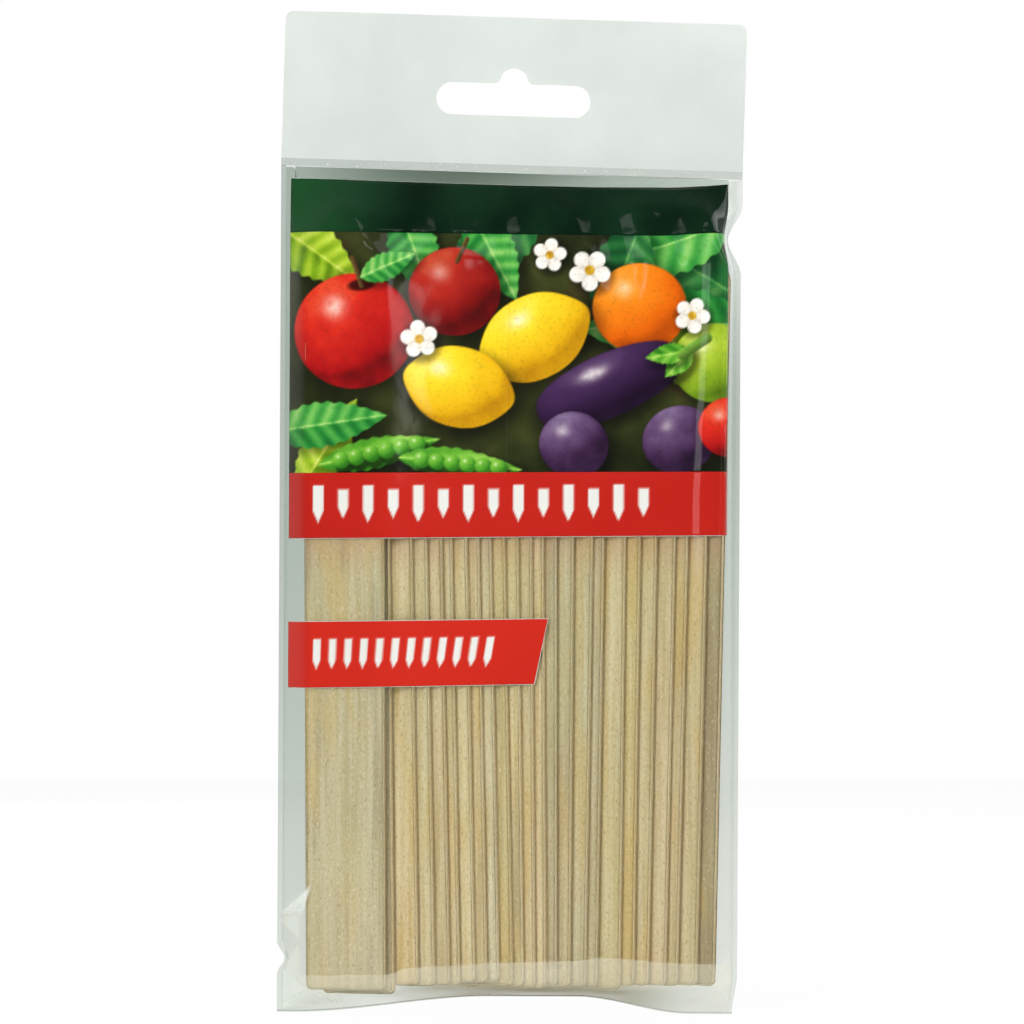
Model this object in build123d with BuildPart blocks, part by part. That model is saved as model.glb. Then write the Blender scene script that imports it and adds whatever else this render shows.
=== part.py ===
from build123d import *
import os
from math import atan2, cos, degrees, radians, sin, tan

# A hanging retail pack of pointed wooden plant labels in a clear film pouch.
# Millimetres. X runs right, Y away from the viewer and Z up. The origin is the top of the
# hang hole, where a hook carries the pack. Depth is the distance in front of the plane in
# which the front film and the back film are welded together.

os.makedirs("parts", exist_ok=True)

# Label: one flat wooden stake, square at the foot of the pack and pointed at the other end
label_length = 152.4
label_width = 15.9
label_thick = 1.2
label_point = 12.0
label_nose = 1.5
label_shoulder = 4.0
label_corner = 1.1
label_edge = 0.12

# Row: the labels lie like roof tiles, each over its right-hand neighbour
row_tilt = 27.0
first_tilt = 10.0
row_start = -26.1
row_span = 66.8
face_gap = 0.06
most_air = 0.2
lean_most = 1.5
lean_height = 51.0
lift_most = 2.5
row_play = 0.2
slide_travel = 2.5

# Shares of the row's span at which each label's right edge lies
place_share = [
    0.0, 0.019, 0.088, 0.135, 0.180, 0.210, 0.255, 0.291, 0.327, 0.368, 0.405, 0.443,
    0.477, 0.513, 0.559, 0.612, 0.646, 0.712, 0.755, 0.802, 0.856, 0.892, 0.949, 1.0,
]
# Shares of the largest lean; a label with a positive share has its foot further right
lean_share = [
    0.14, 0.45, 0.62, 0.78, 0.78, 0.78, 0.80, 0.80, 0.80, 0.76, 0.50, 0.34,
    0.22, 0.0, -0.34, -0.68, -0.68, -0.52, -0.62, -0.80, -0.94, -1.0, -0.96, -0.92,
]
# Shares of the largest lift above the lowest label's foot
lift_share = [
    0.36, 0.0, 0.72, 0.68, 0.72, 0.72, 1.0, 0.95, 1.0, 0.68, 0.60, 0.44,
    0.46, 0.54, 0.52, 0.54, 0.50, 0.36, 0.60, 0.64, 0.64, 0.60, 0.64, 0.62,
]

# Film: thickness of one layer, welds and folds
film = 0.1
header_film = 0.12
weld_width = 1.0
weld_flange = 0.35
seal_band = 1.5
fold_width = 0.4
pouch_turn = 0.3
header_turn = 1.8

# Header with its hang hole, measured from the origin
header_rise = 10.2
header_drop = 19.4
header_radius = 1.6
slot_length = 31.0
slot_height = 6.5
slot_drop = 3.1
hump_radius = 2.8
hump_fillet = 1.3

# Pouch around the row
headroom = 9.5
left_margin = 4.8
right_margin = 2.4
foot_run = 0.9
foot_play = 0.15
arch_rise = 3.3
arch_inset = 4.5

# Closure on the back: a mouth under the header, and a flap over it with an adhesive strip
mouth_height = 11.0
flap_overlap = 15.0
flap_inset = 1.6
flap_radius = 3.0
hinge_gap = 0.15
tape = 0.08
tape_gap = 0.03
tape_height = 9.0
tape_inset = 1.4
tape_rise = 1.5

# Print on the front film: a white base with coloured layers on it
ink = 0.05
print_left = 2.0
print_right = 3.0
keyline = 0.5
green_top = 2.5
green_height = 10.2
picture_height = 47.6
red_height = 12.9
tag_gap = 16.5
tag_height = 13.0
tag_length = 52.0
tag_slant = 2.7

overrun = 20.0


def turned(angle, depth=0.0):
    """The weld plane turned clockwise about the hang point, and moved forward by depth."""
    return Plane(
        origin=(0, -depth, 0),
        x_dir=(cos(radians(angle)), 0, -sin(radians(angle))),
        z_dir=(0, -1, 0),
    )


def label_plane(x, y, z, tilt, lean):
    """A label's front face at its right edge: local x runs across it and local y along it."""
    across = Vector(cos(radians(tilt)), -sin(radians(tilt)), 0)
    facing = Vector(-sin(radians(tilt)), -cos(radians(tilt)), 0)
    return Plane(
        origin=(x, y, z),
        x_dir=across * cos(radians(lean)) + Vector(0, 0, 1) * sin(radians(lean)),
        z_dir=facing,
    )


header_plane = turned(header_turn)
pouch_plane = turned(pouch_turn)
skew = radians(header_turn - pouch_turn)


def seen_in(frame, place, points):
    """Points across, along and off a label's front face, in the local coordinates of frame."""
    plane = label_plane(*place)
    return [frame.to_local_coords(plane.from_local_coords(point)) for point in points]


# The row, each label at least its own thickness behind the one that covers it
row_foot = -(header_drop + seal_band + headroom + lift_most + label_length)
step_least = label_thick + face_gap
rows = []
for share, lean, lift in zip(place_share, lean_share, lift_share):
    x = row_start + row_span * share
    z = row_foot + lift_most * lift + lean_height
    if len(rows) < 2:
        normal = -x * sin(radians(row_tilt))
    else:
        step = (x - rows[-1][0]) * sin(radians(row_tilt))
        normal -= max(step_least, min(step, step_least + most_air))
    y = -(normal + x * sin(radians(row_tilt))) / cos(radians(row_tilt))
    rows.append((x, y, z, row_tilt, lean_most * lean))

# The first label lies flatter than the others, on the second label's right edge
first_x, _, first_z, _, first_lean = rows[0]
swing = label_length * abs(sin(radians(first_lean))) * sin(radians(row_tilt - first_tilt))
first_y = rows[1][1] - (step_least + swing) / cos(radians(first_tilt))
rows[0] = (first_x, first_y, first_z, first_tilt, first_lean)

# The whole row moves forward until its rearmost corner clears the back film
low, high = -lean_height, label_length - lean_height
ends = [(x, y, z) for x in (-label_width, 0) for y in (low, high) for z in (0, -label_thick)]
rearmost = min(point.Z for place in rows for point in seen_in(pouch_plane, place, ends))
rows = [(x, y + rearmost - row_play, z, *angles) for x, y, z, *angles in rows]

# What the pouch has to go round
row_points = [point for place in rows for point in seen_in(pouch_plane, place, ends)]
pouch_depth = max(point.Z for point in row_points) + row_play
row_left = min(point.X for point in row_points)
row_right = max(point.X for point in row_points)
left_edge = seen_in(pouch_plane, rows[0], [(-label_width, low, 0), (-label_width, high, 0)])
right_edge = seen_in(pouch_plane, rows[0], [(0, low, 0), (0, high, 0)])
half_point = atan2(label_width / 2, label_point)
apex_level = high + label_nose * (1 / sin(half_point) - 1)
shoulder_level = apex_level - label_point
tip = (label_nose - label_width / 2, high, 0)
shoulder = (0, shoulder_level, 0)
tips = [seen_in(header_plane, place, [tip])[0] for place in rows]
shoulders = [seen_in(header_plane, place, [shoulder])[0] for place in rows]

pouch_left = row_left - left_margin
pouch_right = row_right + right_margin
panel_left = pouch_left + weld_width
panel_right = pouch_right - weld_width
seal_foot = header_drop + seal_band
arch_top = row_foot - foot_run - foot_play
pouch_foot = arch_top - arch_rise


def below_header(x, drop):
    """Height, in the pouch's plane, of the header's line that lies drop below the origin."""
    return -drop / cos(skew) - x * tan(skew)


def film_outline(x_low, x_high, drop, raised=0.0):
    """Film from a line parallel to the header's foot down to the arched foot of the pouch."""
    bottom = pouch_foot + raised
    with BuildSketch() as outline:
        with BuildLine():
            Polyline(
                (pouch_left + arch_inset, bottom),
                (x_low, bottom),
                (x_low, below_header(x_low, drop)),
                (x_high, below_header(x_high, drop)),
                (x_high, bottom),
                (pouch_right - arch_inset, bottom),
            )
            ThreePointArc(
                (pouch_right - arch_inset, bottom),
                ((pouch_left + pouch_right) / 2, arch_top + raised),
                (pouch_left + arch_inset, bottom),
            )
        make_face()
    return outline.sketch


def strip_outline(x_low, x_high, z_low, z_high, slant=0.0):
    """A strip of print; its right end leans in by slant at the foot."""
    with BuildSketch() as outline:
        with BuildLine():
            Polyline(
                (x_low, z_low),
                (x_high - slant, z_low),
                (x_high, z_high),
                (x_low, z_high),
                close=True,
            )
        make_face()
    return outline.sketch


def pocket(grow=0.0):
    """The room inside the pouch, grown by grow on every side but the back."""
    first_depth = max(point.Z for point in left_edge) + row_play
    first_edge = min(point.X for point in left_edge) - row_play
    crest = min(point.X for point in right_edge)
    tip_corners = []
    for group in (tips[:1], tips[1:]):
        height = max(point.Y for point in group) + slide_travel + row_play
        tip_corners.append((height, max(point.Z for point in group) + row_play))
    (upper, upper_depth), (lower, lower_depth) = sorted(tip_corners, reverse=True)
    shoulder_height = max(point.Y for point in shoulders) + slide_travel + row_play
    deep_foot = pouch_foot - overrun
    across_plane = Plane(
        origin=pouch_plane.from_local_coords((0, deep_foot, 0)),
        x_dir=pouch_plane.x_dir,
        z_dir=pouch_plane.y_dir,
    )
    side_plane = Plane(origin=(0, 0, 0), x_dir=header_plane.y_dir, z_dir=header_plane.x_dir)
    with BuildPart() as room:
        with BuildSketch(across_plane):
            with BuildLine():
                Polyline(
                    (panel_left + weld_flange, 0),
                    (first_edge, -first_depth),
                    (crest, -pouch_depth),
                    (row_right + row_play, -pouch_depth),
                    (panel_right - weld_flange, 0),
                    close=True,
                )
            make_face()
            if grow:
                offset(amount=grow, kind=Kind.INTERSECTION)
        extrude(amount=-deep_foot)
        with BuildSketch(side_plane):
            with BuildLine():
                Polyline(
                    (-seal_foot - weld_flange, 0),
                    (upper, upper_depth),
                    (lower, max(upper_depth, lower_depth)),
                    (shoulder_height, pouch_depth),
                    (deep_foot, pouch_depth),
                    (deep_foot, 0),
                    close=True,
                )
            make_face()
            if grow:
                offset(amount=grow, kind=Kind.INTERSECTION)
        extrude(amount=pouch_right - pouch_left, both=True, mode=Mode.INTERSECT)
        with BuildSketch(pouch_plane):
            raised = fold_width + film - grow
            add(film_outline(pouch_left - overrun, pouch_right + overrun, 0, raised))
        extrude(
            amount=pouch_depth + overrun,
            taper=degrees(atan2(foot_run, pouch_depth)),
            mode=Mode.INTERSECT,
        )
    return room.part


room_inside = pocket()
film_outside = pocket(film)
base_outside = pocket(film + ink)
print_outside = pocket(film + 2 * ink)

# Front film: a flat rim along the welds and the raised pocket over the labels
with BuildPart() as front_panel:
    with BuildSketch(pouch_plane):
        add(film_outline(panel_left, panel_right, seal_foot, fold_width))
    extrude(amount=film)
    add(film_outside)
    add(room_inside, mode=Mode.SUBTRACT)
front_panel.part.label = "front_panel"
export_step(front_panel.part, "parts/front_panel.step")

# Back film: flat, with its free edge below the mouth under the header
with BuildPart() as back_panel:
    with BuildSketch(pouch_plane):
        add(film_outline(panel_left, panel_right, seal_foot + mouth_height, fold_width))
    extrude(amount=-film)
back_panel.part.label = "back_panel"
export_step(back_panel.part, "parts/back_panel.step")

# Folded foot of the pouch: one narrow bead along the arch
with BuildPart() as bottom_fold:
    with BuildSketch(turned(pouch_turn, -film)):
        add(film_outline(pouch_left, pouch_right, seal_foot))
        above_fold = film_outline(pouch_left - overrun, pouch_right + overrun, 0, fold_width)
        add(above_fold, mode=Mode.SUBTRACT)
    extrude(amount=2 * film)
bottom_fold.part.label = "bottom_fold"
export_step(bottom_fold.part, "parts/bottom_fold.step")

# Side welds, in which both films are fused along the pouch's edges
for side, x_low, x_high in (
    ("left", pouch_left, panel_left),
    ("right", panel_right, pouch_right),
):
    with BuildPart() as side_weld:
        with BuildSketch(turned(pouch_turn, -film)):
            with BuildLine():
                Polyline(
                    (x_low, pouch_foot + fold_width),
                    (x_high, pouch_foot + fold_width),
                    (x_high, below_header(x_high, seal_foot)),
                    (x_low, below_header(x_low, seal_foot)),
                    close=True,
                )
            make_face()
        extrude(amount=2 * film)
    side_weld.part.label = f"side_weld_{side}"
    export_step(side_weld.part, f"parts/side_weld_{side}.step")

# Hang hole: a long slot with a hump that keeps the pack centred on its hook
with BuildSketch() as hang_hole:
    with Locations((0, -slot_drop - slot_height / 2)):
        SlotOverall(slot_length, slot_height)
    with Locations((0, -hump_radius)):
        Circle(hump_radius)
    slot_top = hang_hole.vertices().filter_by_position(
        Axis.Y, -slot_drop - slot_height / 4, -slot_drop + slot_height / 4
    )
    fillet([v for v in slot_top if abs(v.X) < slot_length / 4], hump_fillet)

# The header's middle follows the pouch's, seen in the header's turned plane
pouch_top = [
    header_plane.to_local_coords(pouch_plane.from_local_coords((x, -header_drop, 0))).X
    for x in (pouch_left, pouch_right)
]
header_middle = sum(pouch_top) / 2
header_width = pouch_right - pouch_left

# Header: two layers of white film, cut and punched together
with BuildSketch() as header_outline:
    with Locations((header_middle, (header_rise - header_drop) / 2)):
        Rectangle(header_width, header_rise + header_drop)
    fillet(header_outline.vertices().group_by(Axis.Y)[-1], header_radius)
    add(hang_hole.sketch, mode=Mode.SUBTRACT)

for layer, thickness in (("front", header_film), ("back", -header_film)):
    with BuildPart() as header:
        with BuildSketch(header_plane):
            add(header_outline.sketch)
        extrude(amount=thickness)
    header.part.label = f"header_{layer}"
    export_step(header.part, f"parts/header_{layer}.step")

# The flap lies on the back film, with the adhesive strip between them
tape_back = film + tape_gap + tape
flap_back = tape_back + film
flap_foot = seal_foot + mouth_height + flap_overlap
flap_width = header_width - 2 * (weld_width + flap_inset)

# Heat seal that joins the header, the front film and the flap
with BuildPart() as header_seal:
    with BuildSketch(turned(header_turn, -flap_back)):
        with Locations((header_middle, -header_drop - seal_band / 2)):
            Rectangle(header_width, seal_band)
    extrude(amount=flap_back + film)
header_seal.part.label = "header_seal"
export_step(header_seal.part, "parts/header_seal.step")

# Closure flap, hinged along the seal
with BuildPart() as closure_flap:
    with BuildSketch(turned(header_turn, -flap_back)) as flap_outline:
        with Locations((header_middle, -seal_foot - hinge_gap)):
            Rectangle(
                flap_width,
                flap_foot - seal_foot - hinge_gap,
                align=(Align.CENTER, Align.MAX),
            )
        fillet(flap_outline.vertices().group_by(Axis.Y)[0], flap_radius)
    extrude(amount=film)
closure_flap.part.label = "closure_flap"
export_step(closure_flap.part, "parts/closure_flap.step")

# Adhesive strip on the flap's inner face
with BuildPart() as flap_tape:
    with BuildSketch(turned(header_turn, -tape_back)):
        with Locations((header_middle, -flap_foot + tape_rise)):
            Rectangle(
                flap_width - 2 * tape_inset,
                tape_height,
                align=(Align.CENTER, Align.MIN),
            )
    extrude(amount=tape)
flap_tape.part.label = "flap_tape"
export_step(flap_tape.part, "parts/flap_tape.step")

# Print: each layer follows the film's outer face
print_low = pouch_left + print_left
print_high = pouch_right - print_right
green_level = -seal_foot - green_top
picture_level = green_level - green_height
red_level = picture_level - picture_height
print_foot = red_level - red_height
tag_level = print_foot - tag_gap
tag_foot = tag_level - tag_height
tag_high = print_low + tag_length
layers = (
    (
        "print_base",
        strip_outline(
            print_low - keyline, print_high + keyline, print_foot - keyline, green_level + keyline
        ),
        film_outside,
        base_outside,
    ),
    (
        "print_green",
        strip_outline(print_low, print_high, picture_level, green_level),
        base_outside,
        print_outside,
    ),
    (
        "print_picture",
        strip_outline(print_low, print_high, red_level, picture_level),
        base_outside,
        print_outside,
    ),
    (
        "print_red",
        strip_outline(print_low, print_high, print_foot, red_level),
        base_outside,
        print_outside,
    ),
    (
        "tag_base",
        strip_outline(
            print_low - keyline,
            tag_high + keyline,
            tag_foot - keyline,
            tag_level + keyline,
            tag_slant,
        ),
        film_outside,
        base_outside,
    ),
    (
        "tag_red",
        strip_outline(print_low, tag_high, tag_foot, tag_level, tag_slant),
        base_outside,
        print_outside,
    ),
)
for name, outline, under, over in layers:
    with BuildPart() as layer:
        with BuildSketch(pouch_plane):
            add(outline)
        extrude(amount=pouch_depth + overrun)
        add(over, mode=Mode.INTERSECT)
        add(under, mode=Mode.SUBTRACT)
    layer.part.label = name
    export_step(layer.part, f"parts/{name}.step")

# Labels: one flat outline, laid in each place of the row
with BuildSketch() as label_outline:
    with BuildLine():
        Polyline(
            (0, low),
            (0, shoulder_level),
            (-label_width / 2, apex_level),
            (-label_width, shoulder_level),
            (-label_width, low),
            close=True,
        )
    make_face()
    fillet(label_outline.vertices().group_by(Axis.Y)[1], label_shoulder)
    fillet(label_outline.vertices().group_by(Axis.Y)[0], label_corner)
    fillet(label_outline.vertices().group_by(Axis.Y)[-1], label_nose)

for number, place in enumerate(rows, 1):
    with BuildPart() as label:
        with BuildSketch(label_plane(*place)):
            add(label_outline.sketch)
        extrude(amount=-label_thick)
        chamfer(label.faces().sort_by(SortBy.AREA)[-2:].edges(), label_edge)
    label.part.label = f"label_{number:02d}"
    export_step(label.part, f"parts/label_{number:02d}.step")
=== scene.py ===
import math
import random

import bmesh
import bpy
import numpy as np
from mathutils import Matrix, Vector, noise
from mathutils.bvhtree import BVHTree


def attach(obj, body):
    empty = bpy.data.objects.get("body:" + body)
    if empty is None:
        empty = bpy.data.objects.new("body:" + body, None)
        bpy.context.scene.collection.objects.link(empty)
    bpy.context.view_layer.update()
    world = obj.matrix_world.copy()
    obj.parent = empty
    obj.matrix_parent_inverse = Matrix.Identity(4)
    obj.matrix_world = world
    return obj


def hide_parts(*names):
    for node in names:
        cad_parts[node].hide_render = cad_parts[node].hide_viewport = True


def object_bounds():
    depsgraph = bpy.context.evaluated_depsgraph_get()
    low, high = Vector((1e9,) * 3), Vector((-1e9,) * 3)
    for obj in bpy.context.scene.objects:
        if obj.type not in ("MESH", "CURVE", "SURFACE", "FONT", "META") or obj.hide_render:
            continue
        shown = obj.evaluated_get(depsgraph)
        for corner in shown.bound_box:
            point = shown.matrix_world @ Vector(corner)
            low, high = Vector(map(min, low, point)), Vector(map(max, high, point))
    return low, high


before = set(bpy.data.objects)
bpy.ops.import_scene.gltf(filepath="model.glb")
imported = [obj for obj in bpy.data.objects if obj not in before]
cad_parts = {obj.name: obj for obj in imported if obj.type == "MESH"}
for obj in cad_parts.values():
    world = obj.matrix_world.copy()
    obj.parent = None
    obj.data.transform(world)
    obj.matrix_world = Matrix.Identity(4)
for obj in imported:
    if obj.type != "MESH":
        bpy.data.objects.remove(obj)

# A hanging pack of wooden plant labels: clear film, print, white header and labels.
# Metres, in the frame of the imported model. A flat place on the pouch is (across, up) in the
# plane of its welds, and depth is how far something stands in front of that plane. Tables
# of places and sizes are in millimetres, and colours are as seen on a screen, 0 to 255.

cad_box = [list(corner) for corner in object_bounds()]

MM = 0.001
POUCH_TURN = math.radians(0.3)
HEADER_TURN = math.radians(1.8)
LABEL_TILT = math.radians(27)
FIRST_TILT = math.radians(10)
LABELS = [f"label_{number:02d}" for number in range(1, 25)]
FRONT = np.array((0.0, -1.0, 0.0))


def directions(turn):
    """Across and up, in a film that is turned clockwise by that angle."""
    cosine, sine = math.cos(turn), math.sin(turn)
    return np.array((cosine, 0.0, -sine)), np.array((sine, 0.0, cosine))


ACROSS, UP = directions(POUCH_TURN)


def node_points(name):
    """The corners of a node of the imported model."""
    return np.array([vertex.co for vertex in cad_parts[name].data.vertices])


def extent(name, turn=POUCH_TURN):
    """A node's lowest and highest places across and up a turned film."""
    across, up = directions(turn)
    points = node_points(name)
    places = (points @ across, points @ up)
    return places[0].min(), places[0].max(), places[1].min(), places[1].max()


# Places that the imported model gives
pouch_left, panel_left, _, _ = extent("side_weld_left")
panel_right, pouch_right, _, _ = extent("side_weld_right")
_, _, seal_low, seal_high = extent("header_seal", HEADER_TURN)
_, _, fold_low, fold_high = extent("bottom_fold")
_, _, flap_foot, _ = extent("closure_flap", HEADER_TURN)

# The pouch's edges and its arched foot. A pinch says how far an edge is drawn in, at what
# level and over what reach.
RIGHT_PINCH = (2.9 * MM, -34.3 * MM, 7.0 * MM)
LEFT_PINCH = (1.5 * MM, -178.9 * MM, 3.2 * MM)
right_inset = 0.3 * MM
ear_reach = 8.0 * MM
ear_inset = 1.0 * MM
pinch_fade = 6.5 * MM
arch_left = (-43.5 * MM, -3.5 * MM)
arch_right = (13.5 * MM, 36.0 * MM)
fold_width = 0.4 * MM

# The film over the labels
FILM = 0.06 * MM
film_step = 0.5 * MM
film_gap = 0.3 * MM
slide_travel = 2.5 * MM
stretch_rounds = 500
mouth_height = 11.0 * MM
mouth_side = 1.6 * MM
ray_start = 50 * MM


def smooth(share):
    """Eases from 0 to 1."""
    share = np.clip(share, 0.0, 1.0)
    return share * share * (3 - 2 * share)


def seal_line(across):
    """How high the pouch reaches, up to the seal under the turned header."""
    skew = HEADER_TURN - POUCH_TURN
    return seal_low / math.cos(skew) - across * math.tan(skew)


def fold_line(across):
    """The arched foot of the pouch."""
    left = smooth((across - arch_left[0]) / (arch_left[1] - arch_left[0]))
    right = smooth((arch_right[1] - across) / (arch_right[1] - arch_right[0]))
    return fold_low + (fold_high - fold_width - fold_low) * np.minimum(left, right)


def pinched(up, depth, level, reach):
    """How far a pinch draws an edge in."""
    return depth * smooth(1 - np.abs(up - level) / reach)


def drawn_in(across, up):
    """Where a flat place lies once the pouch's edges are drawn in."""
    foot = fold_low + ear_reach
    _, level, reach = RIGHT_PINCH
    right = pinched(up, *RIGHT_PINCH) + ear_inset * smooth((foot - up) / ear_reach)
    right = right + right_inset * smooth((level - up) / reach)
    left = pinched(up, *LEFT_PINCH)
    from_right = np.clip(1 - (pouch_right - across) / pinch_fade, 0, 1) ** 2
    from_left = np.clip(1 - (across - pouch_left) / pinch_fade, 0, 1) ** 2
    return across - right * from_right + left * from_left


def pouch_points(across, up, depth):
    """Points in the frame for flat places, given as arrays, and their depths."""
    across = drawn_in(across, up)
    return np.outer(across, ACROSS) + np.outer(up, UP) + np.outer(depth, FRONT)


# The film is a skin stretched over the labels, then eased, creased and crumpled a little
columns = round((panel_right - panel_left) / film_step)
rows = round((seal_line(0) - fold_line(0)) / film_step)
ACROSS_GRID, SHARE_GRID = np.meshgrid(
    np.linspace(panel_left, panel_right, columns + 1), np.linspace(0, 1, rows + 1), indexing="ij"
)
UP_GRID = fold_line(ACROSS_GRID) + SHARE_GRID * (seal_line(ACROSS_GRID) - fold_line(ACROSS_GRID))


def label_depths():
    """How far forward the labels reach behind each place of the film."""
    corners = []
    faces = []
    for name in LABELS:
        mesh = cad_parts[name].data
        start = len(corners)
        corners.extend(vertex.co.copy() for vertex in mesh.vertices)
        faces.extend([start + index for index in face.vertices] for face in mesh.polygons)
    tree = BVHTree.FromPolygons(corners, faces)
    depths = np.zeros(ACROSS_GRID.shape)
    for index, start in enumerate(pouch_points(ACROSS_GRID, UP_GRID, ray_start)):
        hit = tree.ray_cast(Vector(start), Vector(-FRONT))[0]
        if hit:
            depths.flat[index] = -hit.y
    return depths


def widened(depths, beside, below, above):
    """Each place takes the largest depth of the places within reach of it."""
    result = depths
    for column in range(-beside, beside + 1):
        for row in range(-below, above + 1):
            result = np.maximum(result, np.roll(depths, (column, row), (0, 1)))
    return result


def evened(depths, rounds, support=0):
    """Evens out the film between the places that hold it. Its rim stays as it is."""
    for _ in range(rounds):
        depths = depths.copy()
        depths[1:-1] = (depths[:-2] + 2 * depths[1:-1] + depths[2:]) / 4
        depths[:, 1:-1] = (depths[:, :-2] + 2 * depths[:, 1:-1] + depths[:, 2:]) / 4
        depths = np.maximum(depths, support)
    return depths


def raised(depths, least, rounds, reach, evening):
    """Lifts the film softly where it lies lower than the least depth."""
    for _ in range(rounds):
        short = np.maximum(least - depths, 0)
        depths = depths + evened(widened(short, reach, reach, reach), evening)
    return depths


def crease(start_across, start_up, end_across, end_up, height, reach):
    """A straight fold in the film between two flat places, highest at its middle."""
    start = np.array((start_across, start_up)) * MM
    run = np.array((end_across, end_up)) * MM - start
    places = np.stack((ACROSS_GRID - start[0], UP_GRID - start[1]), -1)
    along = np.clip(places @ run / (run @ run), 0, 1)
    away = np.linalg.norm(places - along[..., None] * run, axis=-1)
    taper = np.sqrt(np.clip(1 - (2 * along - 1) ** 2, 0, 1))
    return height * MM * taper * np.clip(1 - away / (reach * MM), 0, 1)


def pillow(middle_across, middle_up, half_wide, half_tall, height):
    """A soft bump in the film."""
    x = (ACROSS_GRID / MM - middle_across) / half_wide
    z = (UP_GRID / MM - middle_up) / half_tall
    return height * MM * np.exp(-1.4 * (x * x + z * z))


def long_fold(top, foot, height, rise, fall):
    """A fold that rises slowly from the left and falls off quickly on the right."""
    share = (top[1] * MM - UP_GRID) / ((top[1] - foot[1]) * MM)
    ridge = (top[0] + (foot[0] - top[0]) * share + 0.25 * np.sin(share * 9)) * MM
    away = (ACROSS_GRID - ridge) / MM
    profile = np.clip(np.minimum(1 + away / rise, 1 - away / fall), 0, 1)
    taper = smooth(share / 0.08) * smooth((1 - share) / 0.3)
    return height * MM * profile * taper


def lumps(size, seed):
    """Even noise from -1 to 1 over the film, with lumps of that size."""
    shape = ACROSS_GRID.shape
    points = zip(ACROSS_GRID.ravel() / (size * MM), UP_GRID.ravel() / (size * MM))
    return np.array([noise.noise(Vector((x, z, seed))) for x, z in points]).reshape(shape)


def line(*places):
    """A line over the film through flat places: it gives how high it runs at places across."""
    stops, levels = np.array(places).T * MM
    return lambda across: np.interp(across, stops, levels)


# The foot crease: above it the film hangs straight, below it the film leans out as a ledge
foot_crease = line(
    (-48, -182), (-24, -181.5), (-21, -180.2), (-2, -179), (12, -178.8), (18, -178.0),
    (24, -178.3), (31, -179), (38, -179), (46, -180),
)
ledge_height = 4.2 * MM
ledge_depth = 0.7 * MM

# Where the labels' feet end
feet = line(
    (-42, -184.6), (-24, -184.6), (-20, -182.8), (0, -184.0), (20, -184.0), (40, -183.6)
)

# Soft pillows over the pointed ends: middle, across and up, half sizes, and height
PILLOWS = (
    (16.8, -41.5, 3.4, 7.0, 0.75), (23.4, -41.0, 3.2, 7.5, 0.75), (-11.0, -38.0, 5.0, 4.5, 0.4),
    (-31.5, -37.0, 5.0, 4.5, 0.4),
)

# A long fold down the right: across and up at its top and foot, height, and its two slopes
FOLD_DOWN = ((37.6, -33.0), (35.0, -128.0), 0.24, 5.0, 1.7)

# The film keeps its folds crisp below the first level. It is eased less above the second, and
# crumpled more above the third.
crisp_below = -165 * MM
eased_from = -52 * MM
loose_from = -60 * MM

# Creases: start and end, across and up, then height and reach
CREASES = (
    (40.5, -28.0, 44.5, -24.0, 0.7, 2.2),
    (36.5, -33.0, 43.0, -27.0, 0.6, 2.0),
    (31.0, -30.0, 33.0, -41.0, 0.5, 2.2),
    (20.0, -27.0, 23.0, -40.0, 0.6, 2.6),
    (12.0, -28.0, 14.5, -38.0, 0.4, 2.2),
    (-2.0, -27.0, -1.0, -36.0, 0.4, 2.0),
    (-13.5, -27.0, -11.5, -37.0, 0.5, 2.4),
    (-21.0, -28.0, -20.0, -35.0, 0.3, 2.0),
    (-32.0, -27.0, -30.0, -37.0, 0.5, 2.4),
    (-45.0, -29.0, -36.0, -31.5, 0.5, 1.6),
    (-46.0, -170.5, -39.0, -165.5, 1.3, 3.4),
    (-45.5, -184.0, -41.0, -177.5, 0.8, 2.4),
    (-45.5, -186.8, -38.0, -183.5, 0.7, 2.2),
    (38.0, -186.5, 44.0, -182.0, 0.5, 2.2),
)


def film_field():
    """The depth of the film over its flat places."""
    labels = widened(label_depths(), 0, 0, round(slide_travel / film_step))
    held = np.where(labels > 0, labels + film_gap, 0)
    edge = np.minimum(ACROSS_GRID - panel_left, panel_right - ACROSS_GRID)
    near = np.where(edge > 5 * MM, widened(held, 2, 2, 2), widened(held, 1, 2, 2))
    near[0, :] = near[-1, :] = near[:, 0] = near[:, -1] = 0
    depths = evened(np.zeros_like(near), stretch_rounds, near)
    top = smooth((UP_GRID - eased_from) / (10 * MM))
    eased = top * evened(depths, 4) + (1 - top) * evened(depths, 12)
    depths = np.where(UP_GRID < crisp_below, evened(depths, 3), eased)
    depths = raised(depths, held, 4, 1, 3)
    inner = smooth(edge / (3 * MM)) * smooth(SHARE_GRID / 0.02) * smooth((1 - SHARE_GRID) / 0.02)
    ledge = (foot_crease(ACROSS_GRID) - UP_GRID) / ledge_height
    sides = smooth(edge / (7 * MM)) * smooth(SHARE_GRID / 0.012)
    depths += sides * ledge_depth * np.clip(np.minimum(ledge, 2 - ledge), 0, 1)
    for values in CREASES:
        depths += inner * crease(*values)
    for values in PILLOWS:
        depths += inner * pillow(*values)
    depths += inner * long_fold(*FOLD_DOWN)
    loose = smooth((UP_GRID - loose_from) / (30 * MM))
    depths += inner * (0.08 + 0.16 * loose) * MM * lumps(9, 3.3)
    depths += inner * (0.03 + 0.07 * loose) * MM * lumps(3.5, 7.9)
    depths = raised(depths, np.where(held > 0, held - film_gap / 2, 0), 3, 2, 4)
    depths[0] = depths[-1] = depths[:, 0] = depths[:, -1] = 0
    return depths


FILM_DEPTH = film_field()


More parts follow.
